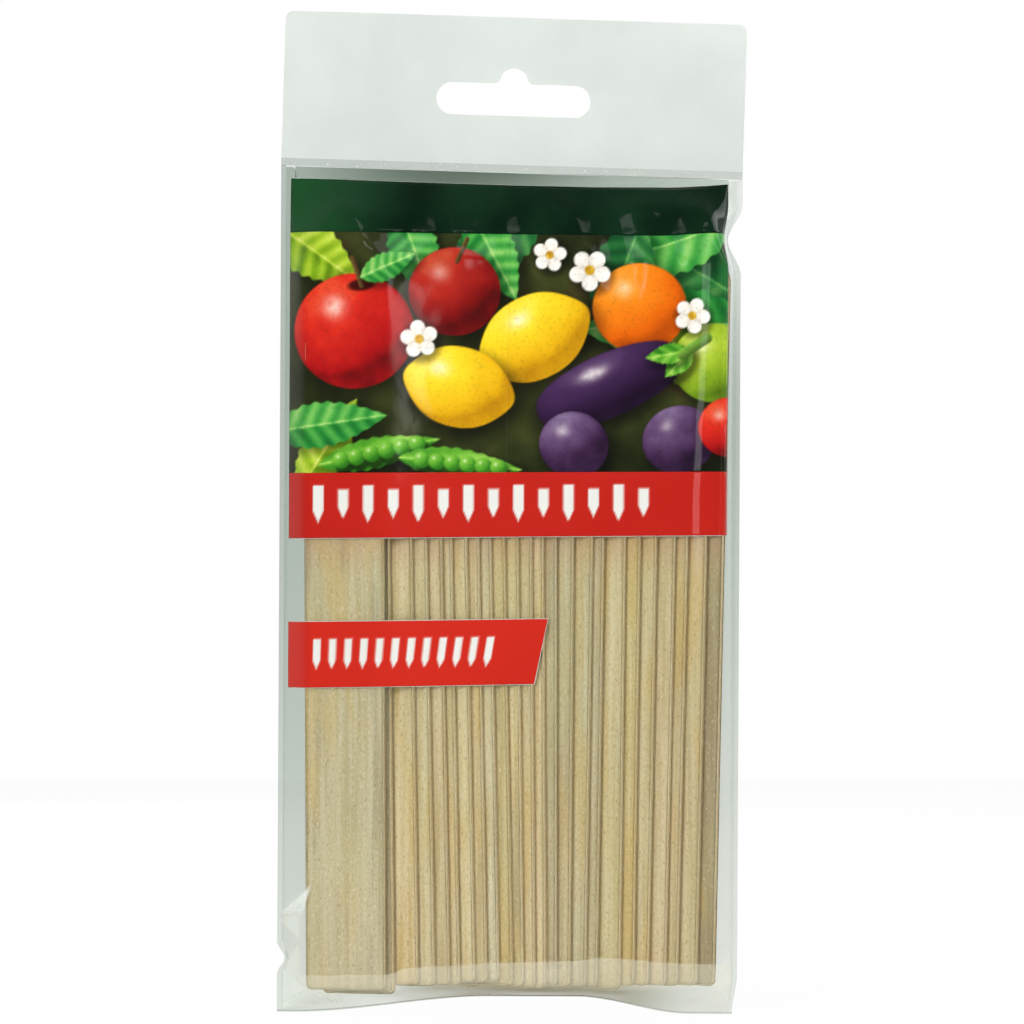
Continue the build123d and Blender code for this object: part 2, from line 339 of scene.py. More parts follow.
def read(grid, left, right, low, high, x, z):
    """Values from between a grid's places, at the shares x and z of the way."""
    lower = grid[left, low] * (1 - x) + grid[right, low] * x
    upper = grid[left, high] * (1 - x) + grid[right, high] * x
    return lower * (1 - z) + upper * z


def film_depth(across, up):
    """The film's depth at flat places, given as arrays."""
    share = (up - fold_line(across)) / (seal_line(across) - fold_line(across))
    column = np.clip((across - panel_left) / (panel_right - panel_left), 0, 1) * columns
    row = np.clip(share, 0, 1) * rows
    left = np.minimum(column.astype(int), columns - 1)
    low = np.minimum(row.astype(int), rows - 1)
    return read(FILM_DEPTH, left, left + 1, low, low + 1, column - left, row - low)


def on_film(across, up, lift=0.0):
    """Points on the film's outer face, or lifted off it."""
    points = pouch_points(across, up, film_depth(across, up))
    if not lift:
        return points
    step = film_step
    slope_across = (film_depth(across + step, up) - film_depth(across - step, up)) / (2 * step)
    slope_up = (film_depth(across, up + step) - film_depth(across, up - step)) / (2 * step)
    normals = FRONT - np.outer(slope_across, ACROSS) - np.outer(slope_up, UP)
    normals /= np.linalg.norm(normals, axis=1)[:, None]
    return points + lift * normals


# Meshes
def placed(name, data):
    """A new object in the scene."""
    made = bpy.data.objects.new(name, data)
    bpy.context.scene.collection.objects.link(made)
    return made


def shaped(bm, name, material):
    """Turns a bmesh into an object of that material."""
    mesh = bpy.data.meshes.new(name)
    bm.to_mesh(mesh)
    bm.free()
    mesh.shade_smooth()
    mesh.materials.append(material)
    return placed(name, mesh)


def finished(bm, name, body, slot, material, thick, *nodes):
    """Turns a bmesh into a piece that rides on a body and stands for nodes of the model."""
    piece = shaped(bm, name, material)
    if thick:
        solid = piece.modifiers.new("thickness", "SOLIDIFY")
        solid.thickness = thick
        solid.offset = -1
    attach(piece, body)
    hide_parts(*nodes)
    return piece


def sheet_grid(across, share, place):
    """A grid with a vertex at each pair of values, put where place says."""
    bm = bmesh.new()
    wide = len(across) - 1
    tall = len(share) - 1
    bmesh.ops.create_grid(bm, x_segments=wide, y_segments=tall, size=1)
    column = [round((vertex.co.x + 1) / 2 * wide) for vertex in bm.verts]
    row = [round((vertex.co.y + 1) / 2 * tall) for vertex in bm.verts]
    points = place(np.asarray(across)[column], np.asarray(share)[row])
    for vertex, point in zip(bm.verts, points):
        vertex.co = point
    bm.normal_update()
    if sum(face.normal.y for face in bm.faces) > 0:
        bmesh.ops.reverse_faces(bm, faces=bm.faces)
    return bm


def steps(*stops):
    """Values from stop to stop, each stretch with its own step."""
    values = []
    for (start, step), (end, _) in zip(stops, stops[1:]):
        count = max(1, round((end - start) / step))
        values.extend(np.linspace(start, end, count, endpoint=False))
    values.append(stops[-1][0])
    return np.array(values)


def between_lines(across, share, low, high):
    """How high a place lies at that share of the way from one line up to the other."""
    return low(across) + share * (high(across) - low(across))


# Materials
def screen_to_linear(colours):
    """Turns colours as seen on a screen into the linear values that shaders take."""
    values = np.clip(colours, 0, 255) / 255
    return np.where(values <= 0.04045, values / 12.92, ((values + 0.055) / 1.055) ** 2.4)


def paint(*colour):
    """One such colour, for a shader."""
    return (*screen_to_linear(colour), 1.0)


def add(tree, kind, settings=None, ordered=(), **named):
    """Adds a shader node and gives its outputs.

    Its inputs are given in order or by name, and one that is another node's output is linked.
    """
    made = tree.nodes.new(kind)
    for name, value in (settings or {}).items():
        setattr(made, name, value)
    for key, value in (*enumerate(ordered), *named.items()):
        socket = made.inputs[key.replace("_", " ") if isinstance(key, str) else key]
        if isinstance(value, bpy.types.NodeSocket):
            tree.links.new(value, socket)
        elif value is not None:
            socket.default_value = value
    return made.outputs


def blend(tree, share, low, high):
    """Mixes two colours, which are this node's inputs 6 and 7 and its output 2."""
    inputs = (share, None, None, None, None, None, low, high)
    return add(tree, "ShaderNodeMix", {"data_type": "RGBA"}, inputs)[2]


def tinge(tree, colour, share, tint):
    """Mixes a tint, as seen on a screen, into a colour."""
    return blend(tree, share, colour, paint(*tint))


def layered(tree, share, low, high):
    """Mixes two shaders."""
    return add(tree, "ShaderNodeMixShader", None, (share, low, high))[0]


def grain(tree, place, scale, detail=2.0, stretch=(1, 1, 1), shift=(0, 0, 0)):
    """Noise with features of about 1/scale metres."""
    moved = add(tree, "ShaderNodeMapping", Vector=place, Location=shift, Scale=stretch)[0]
    return add(tree, "ShaderNodeTexNoise", Vector=moved, Scale=scale, Detail=detail)["Fac"]


def between(tree, value, low, high):
    """Eases from 0 at low to 1 at high."""
    settings = {"interpolation_type": "SMOOTHSTEP"}
    return add(tree, "ShaderNodeMapRange", settings, (value, low, high))[0]


def maths(tree, operation, first, second):
    """Works out one value from two."""
    return add(tree, "ShaderNodeMath", {"operation": operation}, (first, second))[0]


def times(tree, value, factor):
    """One value times another."""
    return maths(tree, "MULTIPLY", value, factor)


def dot(tree, vector, direction):
    """How far a vector reaches in a direction."""
    settings = {"operation": "DOT_PRODUCT"}
    return add(tree, "ShaderNodeVectorMath", settings, (vector, direction))["Value"]


def bump(tree, height, strength, distance):
    """Normals for small bumps, which stand that far out."""
    return add(tree, "ShaderNodeBump", Height=height, Strength=strength, Distance=distance)[0]


def output(tree, shader):
    """Ends a material with its shader."""
    add(tree, "ShaderNodeOutputMaterial", Surface=shader)


def blank(name):
    """A new material, its node tree, and places in the frame."""
    material = bpy.data.materials.new(name)
    material.use_nodes = True
    tree = material.node_tree
    tree.nodes.clear()
    return material, tree, add(tree, "ShaderNodeTexCoord")["Object"]


def part_of(tree, vector, axis):
    """One of a vector's three parts."""
    return add(tree, "ShaderNodeSeparateXYZ", Vector=vector)[axis]


film_ior = 1.12
# Strength of the painted sheen along the labels' feet
foot_painted_sheen = 0.17
WHITE = (1, 1, 1, 1)
MILK = (214, 222, 215)
# Colours of the painted sheen and painted glints on the front film
PAINTED_SHEEN_WARM = (250, 247, 226)
PAINTED_SHEEN_WHITE = (244, 249, 242)


def film_ripple(tree, place):
    """The film's faint ripples, as normals."""
    return bump(tree, grain(tree, place, 260, 3), 0.25, 0.15 * MM)


def clear_film(
    name, tint, tint_low, roughness, haze_and_sheen=0.0, spots=(), with_painted_sheen=False, slope=(0.3, 0, -1)
):
    """Glossy film: it lets light through, tinted, and mirrors more at a shallow angle.

    It has one tint at the pack's upper left and another at its lower right, or at the ends of
    another slope; where the first is darker, that is painted shade. It may have spots of other
    tints.
    Only faces that look at the viewer mirror, so a solid film mirrors once. Film with painted
    sheen is milky where its attribute says: a painted reflection along the labels' feet, and
    painted glints.
    """
    material, tree, place = blank(name)
    # Painted shade: the tint runs from the first, darker one to the second along the slope
    level = between(tree, dot(tree, place, slope), 0.05, 0.22)
    colour = blend(tree, level, paint(*tint), paint(*tint_low))
    for (across, up), (wide, tall), spot_tint in spots:
        scale = np.array((1 / wide, 0, 1 / tall))
        centred = scale * (-across, 0, -up)
        spot = add(tree, "ShaderNodeMapping", Vector=place, Location=centred, Scale=scale / MM)
        far = add(tree, "ShaderNodeVectorMath", {"operation": "LENGTH"}, spot[:1])["Value"]
        colour = tinge(tree, colour, between(tree, far, 1.2, 0.1), spot_tint)
    normal = film_ripple(tree, place)
    through = add(tree, "ShaderNodeBsdfTransparent", Color=colour)[0]
    gloss = add(tree, "ShaderNodeBsdfGlossy", Color=WHITE, Roughness=roughness, Normal=normal)[0]
    mirror = add(tree, "ShaderNodeFresnel", IOR=film_ior, Normal=normal)[0]
    away = add(tree, "ShaderNodeNewGeometry")["Backfacing"]
    shader = layered(tree, times(tree, mirror, maths(tree, "SUBTRACT", 1, away)), through, gloss)
    haze_and_sheen_colour = paint(*MILK)
    # Painted sheen: a milky veil where the attribute says, for a painted reflection along the
    # labels' feet and painted glints
    if with_painted_sheen:
        painted_sheen = add(tree, "ShaderNodeAttribute", {"attribute_name": "painted_sheen"})["Fac"]
        haze_and_sheen_colour = tinge(tree, paint(*PAINTED_SHEEN_WARM), between(tree, painted_sheen, 1.0, 1.8), PAINTED_SHEEN_WHITE)
        haze_and_sheen = times(tree, painted_sheen, foot_painted_sheen)
    if with_painted_sheen or haze_and_sheen:
        matt = add(tree, "ShaderNodeBsdfDiffuse", Color=haze_and_sheen_colour)[0]
        shader = layered(tree, haze_and_sheen, shader, matt)
    output(tree, shader)
    return material


# Woods: the lighter and the darker tone of each
WOODS = (
    ((223, 208, 176), (204, 187, 148)),
    ((240, 219, 180), (216, 192, 146)),
    ((240, 221, 172), (220, 194, 136)),
    ((236, 224, 192), (213, 197, 158)),
    ((242, 225, 186), (222, 200, 150)),
)
# The last label's brightness: darker, as painted shade
LAST_PAINTED_SHADE_BRIGHTNESS = 0.79
VEIN = (160, 146, 120)
PALE_CLOUD = (216, 208, 160)
STAIN = (222, 186, 108)
PORE = (160, 140, 100)
FIBRE = (252, 246, 222)
# Painted reflection of the red band on the wood
PAINTED_BAND_REFLECTION = (206, 150, 122)
# Cut sides: partly their own pale colour, partly a painted highlight
CUT_PALE_AND_HIGHLIGHT = ((240, 210, 158), (255, 238, 200))
# Painted shade in the gap behind each cut side
GAP_PAINTED_SHADE = (124, 84, 44)

# Just under the red band, a painted reflection of its colour glows on the wood: from nothing to
# its strongest
painted_reflection_levels = (-103.5 * MM, -93.5 * MM)


def surface(material, tree, **values):
    """Ends a material with a shader for things that let no light through."""
    output(tree, add(tree, "ShaderNodeBsdfPrincipled", **values)[0])
    return material


def wood(number, tilt, slope, middle):
    """Raw light wood. Each label has its own tint, streaks and grain, and pale cut sides that are
    partly a painted highlight.
    It has painted shade behind each cut side and on the last label, and a painted reflection of
    the red band.

    Tilt, slope and middle give the plane in the middle of the label's thickness.
    """
    chance = random.Random(number * 17)
    material, tree, place = blank(f"wood_{number:02d}")
    shift = (chance.random(), chance.random(), chance.random())
    tones = WOODS[0] if number == 1 else chance.choice(WOODS)
    # The last label is darker, as painted shade
    brightness = LAST_PAINTED_SHADE_BRIGHTNESS if number == len(LABELS) else 0.95 + 0.06 * chance.random()
    light, dark = (paint(*(value * brightness for value in tone)) for tone in tones)

    def fibres(scale, detail, stretch, shift=shift):
        """Noise that is drawn out along the label."""
        return grain(tree, place, scale, detail, (1, 1, stretch), shift)

    sanded = fibres(2500, 4, 0.6)
    colour = blend(tree, between(tree, fibres(900, 3, 0.03), 0.3, 0.7), dark, light)
    for value, low, high, strength, tint in (
        (fibres(420, 3, 0.05), 0.56, 0.74, 0.45, VEIN),
        (fibres(70, 2, 0.4), 0.45, 0.7, 0.3, PALE_CLOUD),
        (fibres(150, 2, 0.2, shift[::-1]), 0.5, 0.66, 0.4, STAIN),
        (sanded, 0.54, 0.72, 0.5, PORE),
        (sanded, 0.42, 0.28, 0.4, FIBRE),
    ):
        colour = tinge(tree, colour, times(tree, between(tree, value, low, high), strength), tint)
    normals = add(tree, "ShaderNodeTexCoord")["Normal"]
    # Painted reflection: the red band's colour, on faces that look forward just under it
    glow = between(tree, part_of(tree, place, "Z"), *painted_reflection_levels)
    forward = between(tree, part_of(tree, normals, "Y"), 0.1, -0.3)
    colour = tinge(tree, colour, times(tree, times(tree, glow, forward), 0.35), PAINTED_BAND_REFLECTION)
    # Cut sides are painted pale, partly their own colour and partly a painted highlight
    side = between(tree, dot(tree, normals, (math.cos(tilt), -math.sin(tilt), 0)), 0.55, 0.95)
    cut_and_highlight = blend(tree, between(tree, sanded, 0.4, 0.6), paint(*CUT_PALE_AND_HIGHLIGHT[0]), paint(*CUT_PALE_AND_HIGHLIGHT[1]))
    colour = blend(tree, times(tree, side, 0.85), colour, cut_and_highlight)
    # Painted shade: a dark line along the back of each cut side, where it meets the next label
    level = dot(tree, place, (-math.sin(tilt), -math.cos(tilt), -slope))
    back = between(tree, level, middle - 0.15 * MM, middle - 0.5 * MM)
    colour = tinge(tree, colour, times(tree, times(tree, back, side), 0.6), GAP_PAINTED_SHADE)
    return surface(
        material, tree, Base_Color=colour, Roughness=0.75, Specular_IOR_Level=0.1,
        Normal=bump(tree, sanded, 0.6, 0.06 * MM),
    )


def pearl_film():
    """The header's white film, with a faint cloudiness."""
    material, tree, place = blank("pearl_film")
    share = between(tree, grain(tree, place, 60, 3), 0.3, 0.7)
    return surface(
        material, tree, Base_Color=blend(tree, share, paint(200, 206, 201), paint(206, 212, 206)),
        Roughness=0.38, Normal=bump(tree, grain(tree, place, 90, 2), 0.3, 0.3 * MM),
        Specular_IOR_Level=0.25, Coat_Weight=0.3, Coat_IOR=film_ior, Coat_Roughness=0.2,
    )


def seal_film():
    """The heat seal: pressed film with fine ribs and a few bright specks."""
    material, tree, place = blank("seal_film")
    share = between(tree, part_of(tree, place, "X"), -30 * MM, 45 * MM)
    colour = blend(tree, share, paint(168, 176, 170), paint(170, 177, 170))
    specks = between(tree, grain(tree, place, 2200, 1), 0.7, 0.78)
    ribs = add(tree, "ShaderNodeTexWave", Vector=place, Scale=900.0, Distortion=1.0)["Fac"]
    return surface(
        material, tree, Base_Color=tinge(tree, colour, specks, (236, 240, 236)), Roughness=0.3,
        Normal=bump(tree, ribs, 0.3, 0.05 * MM),
    )


def ink(name, dark, light, scale=90.0, left=None):
    """Printed ink under gloss film, with a slightly uneven colour, or another at its left end."""
    material, tree, place = blank(name)
    share = between(tree, grain(tree, place, scale, 3), 0.35, 0.65)
    colour = blend(tree, share, paint(*dark), paint(*light))
    if left:
        share = between(tree, part_of(tree, place, "X"), -22 * MM, -46 * MM)
        colour = tinge(tree, colour, share, left)
    return gloss_over(material, tree, place, colour)


def gloss_over(material, tree, place, colour):
    """Ends an ink's material with the gloss of the film over it."""
    return surface(
        material, tree, Base_Color=colour, Roughness=0.5, Specular_IOR_Level=0, Coat_Weight=1,
        Coat_IOR=film_ior, Coat_Roughness=0.1, Coat_Normal=film_ripple(tree, place),
    )


def printed_ink(name, speckle):
    """A print: its colours are the piece's own, with fine dark speckles."""
    material, tree, place = blank(name)
    colour = add(tree, "ShaderNodeVertexColor", {"layer_name": "print"})["Color"]
    if speckle:
        dots = between(tree, grain(tree, place, 1500, 3), 0.5, 0.75)
        colour = tinge(tree, colour, times(tree, dots, speckle), (30, 30, 16))
    return gloss_over(material, tree, place, colour)


# Spots of another tint on the film: middle, across and up, how far they reach, and tint. The
# spots at the foot and under the seal are painted shade, and the spot at the top right corner is
# painted light.
FOOT_PAINTED_SHADOW = ((4, -186.5), (30, 8.5), (178, 172, 148))
SEAL_PAINTED_SHADE = ((-12, -20.6), (31, 6.0), (164, 173, 165))
BEHIND_LABELS = ((-1, -105), (40, 82), (249, 250, 248))
CORNER_PAINTED_LIGHT = ((46, -24), (13, 40), (243, 245, 243))
# Each film's tint is darker at its top and left (the flap's at its left), as painted shade
FILM_CLEAR = clear_film("clear_film", (246, 248, 246), (250, 251, 250), 0.11, with_painted_sheen=True)
FILM_WELD = clear_film("weld_film", (214, 219, 215), (244, 246, 243), 0.16, 0.10, (CORNER_PAINTED_LIGHT,))
FILM_BACK = clear_film(
    "back_film", (213, 219, 214), (243, 244, 241), 0.12,
    spots=(BEHIND_LABELS, FOOT_PAINTED_SHADOW, CORNER_PAINTED_LIGHT),
)
FILM_FLAP = clear_film(
    "flap_film", (212, 219, 214), (234, 238, 234), 0.12, 0.05, (SEAL_PAINTED_SHADE,), slope=(4.2, 0, 0)
)
TAPE = clear_film("tape_film", (242, 243, 240), (242, 243, 240), 0.3, 0.3)
PEARL = pearl_film()
SEAL = seal_film()
WHITE_INK = ink("white_ink", (212, 216, 208), (222, 226, 218))
GREEN_INK = ink("green_ink", (2, 26, 11), (12, 42, 24), 60, (28, 74, 40))
PICTURE_INK = printed_ink("picture_ink", 0.2)
BAND_INK = printed_ink("band_ink", 0.0)

def panel_steps(rim, fine, coarse):
    """Values across the panel, in fine steps along its rims."""
    inner_left, inner_right = panel_left + rim, panel_right - rim
    return steps((panel_left, fine), (inner_left, coarse), (inner_right, fine), (panel_right, 0))


# Front film
film_columns = panel_steps(8 * MM, 0.35 * MM, 0.8 * MM)
film_rows = steps((0, 0.0022), (0.06, 0.003), (0.16, 0.0055), (0.9, 0.0028), (1, 0))

# Painted glints on creased corners: three corners, across and up, and how much
PAINTED_GLINTS = (
    ((-46.4, -170.2), (-40.0, -164.2), (-41.6, -169.4), 3.8),
    ((-46.6, -171.0), (-41.8, -169.8), (-42.2, -175.0), 1.7),
    ((-47.0, -181.0), (-42.4, -176.0), (-42.0, -184.4), 1.5),
    ((-47.2, -188.8), (-46.6, -180.0), (-41.0, -185.0), 3.2),
    ((-47.2, -189.2), (-41.4, -185.2), (-33.0, -187.4), 2.2),
    ((-40.8, -185.0), (-33.0, -185.2), (-33.5, -187.2), 1.0),
    ((34.0, -187.2), (42.5, -184.0), (45.0, -188.8), 0.7),
    ((40.0, -182.5), (44.5, -176.0), (44.8, -187.0), 0.5),
)


def facet_share(across, up, corners):
    """1 inside a triangle of flat places, with soft edges."""
    corners = np.array(corners) * MM
    middle = corners.mean(0)
    share = np.ones(len(across))
    for start, end in zip(corners, np.roll(corners, -1, 0)):
        run = (end - start) / np.linalg.norm(end - start)
        inward = np.array((-run[1], run[0]))
        inward *= np.sign((middle - start) @ inward)
        away = (across - start[0]) * inward[0] + (up - start[1]) * inward[1]
        share = share * smooth(away / (0.9 * MM) + 0.5)
    return share


def painted_sheen_share(across, up):
    """1 between the foot crease and the labels' feet, for a painted reflection, and more on
    painted glints.
    """
    below = smooth((foot_crease(across) - up) / (0.3 * MM))
    band = below * smooth((up - feet(across)) / (1.2 * MM) + 1)
    for *corners, white in PAINTED_GLINTS:
        band = np.maximum(band, white * facet_share(across, up, corners))
    return band


def front_film():
    """The front film, with an attribute for where its painted sheen lies."""
    flat = []

    def place(across, share):
        flat[:] = across, between_lines(across, share, fold_line, seal_line)
        return on_film(*flat)

    piece = finished(
        sheet_grid(film_columns, film_rows, place), "front_film", "pack", "clear_film",
        FILM_CLEAR, FILM, "front_panel",
    )
    painted_sheen = piece.data.attributes.new("painted_sheen", "FLOAT", "POINT")
    painted_sheen.data.foreach_set("value", painted_sheen_share(*flat))


front_film()


# Back film, a little puffed out below the flap
def mouth_line(across):
    """The mouth's lower edge, which curves up to the seal beside the welds."""
    edge = np.minimum(across - panel_left - mouth_side, panel_right - across - mouth_side)
    return seal_line(across) - mouth_height * smooth(edge / (1.8 * MM)) - 0.3 * MM


def back_place(across, share):
    """Points of the back film."""
    up = between_lines(across, share, fold_line, mouth_line)
    puff = smooth((flap_foot - 2 * MM - up) / (20 * MM)) * smooth((up - fold_low) / (25 * MM))
    side = smooth((across - panel_left) / (9 * MM)) * smooth((panel_right - across) / (9 * MM))
    wave = [noise.noise(Vector((x * 45, z * 22, 1.7))) for x, z in zip(across, up)]
    return pouch_points(across, up, -FILM - puff * side * (0.5 + 0.5 * np.array(wave)) * MM)


back_columns = panel_steps(5 * MM, 0.3 * MM, 1.0 * MM)
finished(
    sheet_grid(back_columns, steps((0, 0.012), (1, 0)), back_place),
    "back_film", "pack", "clear_film", FILM_BACK, FILM, "back_panel",
)


# Side welds and the fold at the foot
weld_thick = 0.2 * MM


def weld_place(across, share):
    """Points of a side weld."""
    up = between_lines(across, share, fold_line, seal_line)
    return pouch_points(across, up, weld_thick / 2)


for side, low, high in (("left", pouch_left, panel_left), ("right", panel_right, pouch_right)):
    finished(
        sheet_grid(steps((low, 0.25 * MM), (high, 0)), steps((0, 0.004), (1, 0)), weld_place),
        f"weld_{side}", "pack", "clear_film", FILM_WELD, weld_thick, f"side_weld_{side}",
    )


def fold_place(across, share):
    """Points of the bead along the arched foot."""
    up = fold_line(across) + (share - 0.3) * fold_width
    bead = 0.12 * MM * np.sin(math.pi * share)
    return pouch_points(across, up, 0.08 * MM + bead)


fold_columns = steps((pouch_left, 0.8 * MM), (pouch_right, 0))
finished(
    sheet_grid(fold_columns, steps((0, 0.2), (1, 0)), fold_place),
    "foot_fold", "pack", "clear_film", FILM_WELD, weld_thick, "bottom_fold",
)


def copied(name):
    """A copy of a node, with its corners joined."""
    bm = bmesh.new()
    bm.from_mesh(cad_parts[name].data)
    bmesh.ops.remove_doubles(bm, verts=bm.verts, dist=1e-6)
    return bm


# Header, flap and tape: sliced copies of the flat nodes, bent a little
def sliced(name, turn, spacing):
    """A copy of a flat node, cut into small squares so that it can bend."""
    across, up = directions(turn)
    bm = copied(name)
    low_across, high_across, low_up, high_up = extent(name, turn)
    for direction, low, high in ((across, low_across, high_across), (up, low_up, high_up)):
        for place in np.arange(low + spacing, high, spacing):
            geometry = bm.verts[:] + bm.edges[:] + bm.faces[:]
            bmesh.ops.bisect_plane(
                bm, geom=geometry, plane_co=Vector(direction * place), plane_no=Vector(direction)
            )
    return bm


def bend(bm, turn, shift):
    """Moves each vertex back by what shift gives for its flat place."""
    across, up = directions(turn)
    for vertex in bm.verts:
        point = np.array(vertex.co)
        vertex.co.y += shift(point @ across, point @ up)


def header_wave(across, up):
    """The header's slight waves, none at its seal."""
    fade = smooth((up - seal_high) / (16 * MM))
    wave = 0.45 * math.sin(across / (17 * MM) + 0.6)
    wave += 0.25 * math.sin(across / (8 * MM) + up / (13 * MM))
    curl = 0.9 * smooth((up - 2 * MM) / (12 * MM)) * (across / (46 * MM)) ** 2
    return fade * (wave + curl) * MM


for layer in ("front", "back"):
    header = sliced(f"header_{layer}", HEADER_TURN, 2 * MM)
    bend(header, HEADER_TURN, header_wave)
    piece = finished(
        header, f"header_film_{layer}", "pack", "header_film", PEARL, 0, f"header_{layer}"
    )
    piece.data.shade_flat()


flap_left = panel_left + mouth_side + 0.2 * MM
flap_right = panel_right - mouth_side - 0.2 * MM


def flap_width(bm):
    """Fits the flap's width behind the print, and draws its edges in with the pouch's."""
    low, high, _, _ = extent("closure_flap", HEADER_TURN)
    header_across, _ = directions(HEADER_TURN)
    for vertex in bm.verts:
        point = np.array(vertex.co)
        share = (point @ header_across - low) / (high - low)
        place = flap_left + share * (flap_right - flap_left)
        vertex.co += Vector((drawn_in(place, point @ UP) - point @ ACROSS) * ACROSS)


def flap_wave(across, up):
    """The flap stands off a little towards its foot."""
    hang = smooth((seal_low - 6 * MM - up) / (20 * MM))
    wave = 0.5 + 0.5 * math.sin(across / (9 * MM) + 1.1)
    return hang * 0.25 * wave * MM


for node, name, slot, material in (
    ("closure_flap", "flap_film", "clear_film", FILM_FLAP),
    ("flap_tape", "tape_strip", "tape", TAPE),
):
    sheet = sliced(node, HEADER_TURN, 3 * MM)
    bend(sheet, HEADER_TURN, flap_wave)
    flap_width(sheet)
    finished(sheet, name, "closure_flap", slot, material, 0, node)

# The seal keeps its shape, and the labels get eased edges
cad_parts["header_seal"].material_slots[0].material = SEAL
edge_round = 0.42 * MM
for number, name in enumerate(LABELS, 1):
    label = copied(name)
    sharp = [edge for edge in label.edges if edge.calc_face_angle(0) > 0.5]
    bmesh.ops.bevel(
        label, geom=sharp, offset=edge_round, segments=3, profile=0.5, affect="EDGES", material=-1
    )
    tilt = FIRST_TILT if number == 1 else LABEL_TILT
    points = node_points(name)
    slope, middle = np.polyfit(points[:, 2], points @ (-math.sin(tilt), -math.cos(tilt), 0), 1)
    label_wood = wood(number, tilt, slope, middle)
    finished(label, f"wooden_{name}", name, "label_wood", label_wood, 0, name)

# Print on the front film
print_twist = 0.00032 / MM
print_slope = 0.0122
print_middle = (pouch_left + pouch_right) / 2
_, _, print_foot, _ = extent("print_red")
tag_slant = 2.7 * MM
corner_lift = 0.7 * MM
base_lift = -0.03 * MM
ink_lift = 0.08 * MM
ink_thick = 0.02 * MM
keyline = 0.38 * MM

# The print's wavy top edge: places across, and how far it is lifted there
top_lift = line(
    (-46, 0.6), (-41, 0.55), (-31, 0.3), (-15, 0.0), (1, -0.25), (17, -0.38), (29, -0.25),
    (35, -0.4), (39, -0.4), (42.7, 0.0),
)


def print_warp(across, up):
    """The print lies a little askew on the film, more so towards its foot."""
    slope = print_slope + (print_foot - up) * print_twist
    corner = corner_lift * smooth(across / MM / 12 - 2.4) * smooth(up / MM / 15 + 3.4)
    top = top_lift(across) * smooth((up + 33 * MM) / (9 * MM))
    return across, up + (across - print_middle) * slope + corner + top


def print_patch(
    node, name, slot, material, lift=ink_lift, slant=0.0, step=0.7 * MM, colours=None, parts=1,
    inset=0.0,
):
    """A layer of ink over the field that a node of the model has, less the inset.

    Colours, if given, takes flat places from the field's lower left corner in millimetres.
    """
    field = np.add(extent(node), (inset, -inset, inset, -inset))
    low_across, high_across, low_up, high_up = field
    stops = np.linspace(low_across, high_across, parts + 1)
    for part in range(parts):
        flat = []

        def place(across, up):
            flat[:] = (across - low_across) / MM, (up - low_up) / MM
            lean = slant * (high_up - up) / (high_up - low_up)
            share = (across - low_across) / (high_across - low_across)
            return on_film(*print_warp(across - lean * share, up), lift)

        across = steps((stops[part], step), (stops[part + 1], 0))
        patch = sheet_grid(across, steps((low_up, step), (high_up, 0)), place)
        piece_name = name if parts == 1 else f"{name}_{part + 1}"
        piece = finished(patch, piece_name, "pack", slot, material, ink_thick, node)
        if colours:
            values = np.ones((len(piece.data.vertices), 4))
            values[:, :3] = screen_to_linear(colours(*flat))
            layer = piece.data.color_attributes.new("print", "FLOAT_COLOR", "POINT")
            layer.data.foreach_set("color", values.ravel())


# The printed picture: fruit and leaves, painted from back to front. Places are in
# millimetres from the picture's lower left corner.
soft_edge = 0.3


def cloud(x, z, size, seed):
    """Noise from 0 to 1 with lumps of that size and finer ones on them."""
    total = np.zeros(len(x))
    for level, weight in ((1, 0.6), (2, 0.27), (4, 0.13)):
        lattice = np.random.default_rng(seed + level).random((128, 128))
        column = x / size * level + 40
        row = z / size * level + 40
        left = np.floor(column).astype(int)
        low = np.floor(row).astype(int)
        places = (left % 128, (left + 1) % 128, low % 128, (low + 1) % 128)
        total += weight * read(lattice, *places, smooth(column - left), smooth(row - low))
    return total


def cover(canvas, share, colour):
    """Paints over the canvas, as far as share says."""
    share = np.clip(share, 0, 1)[:, None]
    canvas += share * (np.asarray(colour, float) - canvas)


def ramp(level, *colours):
    """Colours along a level that runs from 0 to 1."""
    stops = np.linspace(0, 1, len(colours))
    return np.stack([np.interp(level, stops, part) for part in zip(*colours)], -1)


def turned(x, z, centre, angle):
    """Places along and aside of a direction through the centre."""
    x, z = x - centre[0], z - centre[1]
    cosine, sine = math.cos(math.radians(angle)), math.sin(math.radians(angle))
    return x * cosine + z * sine, z * cosine - x * sine


def shade(canvas, x, z, centre, radii, angle, strength):
    """A soft shadow."""
    along, aside = turned(x, z, centre, angle)
    far = np.hypot(along / radii[0], aside / radii[1])
    canvas *= 1 - strength * smooth((1.35 - far) / 0.6)[:, None]


def ball(canvas, x, z, centre, radii, angle, colours, seed, mottle=0.2, gloss=0.7, point=0.0):
    """A round fruit, lit from the upper left. Point draws its ends out."""
    shade(canvas, x, z, (centre[0] + 0.8, centre[1] - 1.2), radii, angle, 0.55)
    along, aside = turned(x, z, centre, angle)
    u = along / radii[0]
    v = aside / radii[1] * (1 + point * u ** 4)
    far = np.hypot(u, v)
    right, up = turned(u, v, (0, 0), -angle)
    front = np.sqrt(np.clip(1 - far ** 2, 0, 1))
    level = 0.16 + 0.62 * np.clip(0.62 * front - 0.42 * right + 0.55 * up, 0, 1)
    level += mottle * (cloud(x, z, 3.2, seed) - 0.5) + 0.08 * (1 - front) * (far < 1)
    body = ramp(level, *colours)
    glint = gloss * np.exp(-((right + 0.33) ** 2 + (up - 0.42) ** 2) / 0.035)
    glint = glint * (0.6 + 0.6 * cloud(x, z, 1.2, seed + 7))
    body += glint[:, None] * (np.array((255, 250, 240)) - body)
    cover(canvas, (1 - far) * min(radii) / soft_edge + 0.5, body)


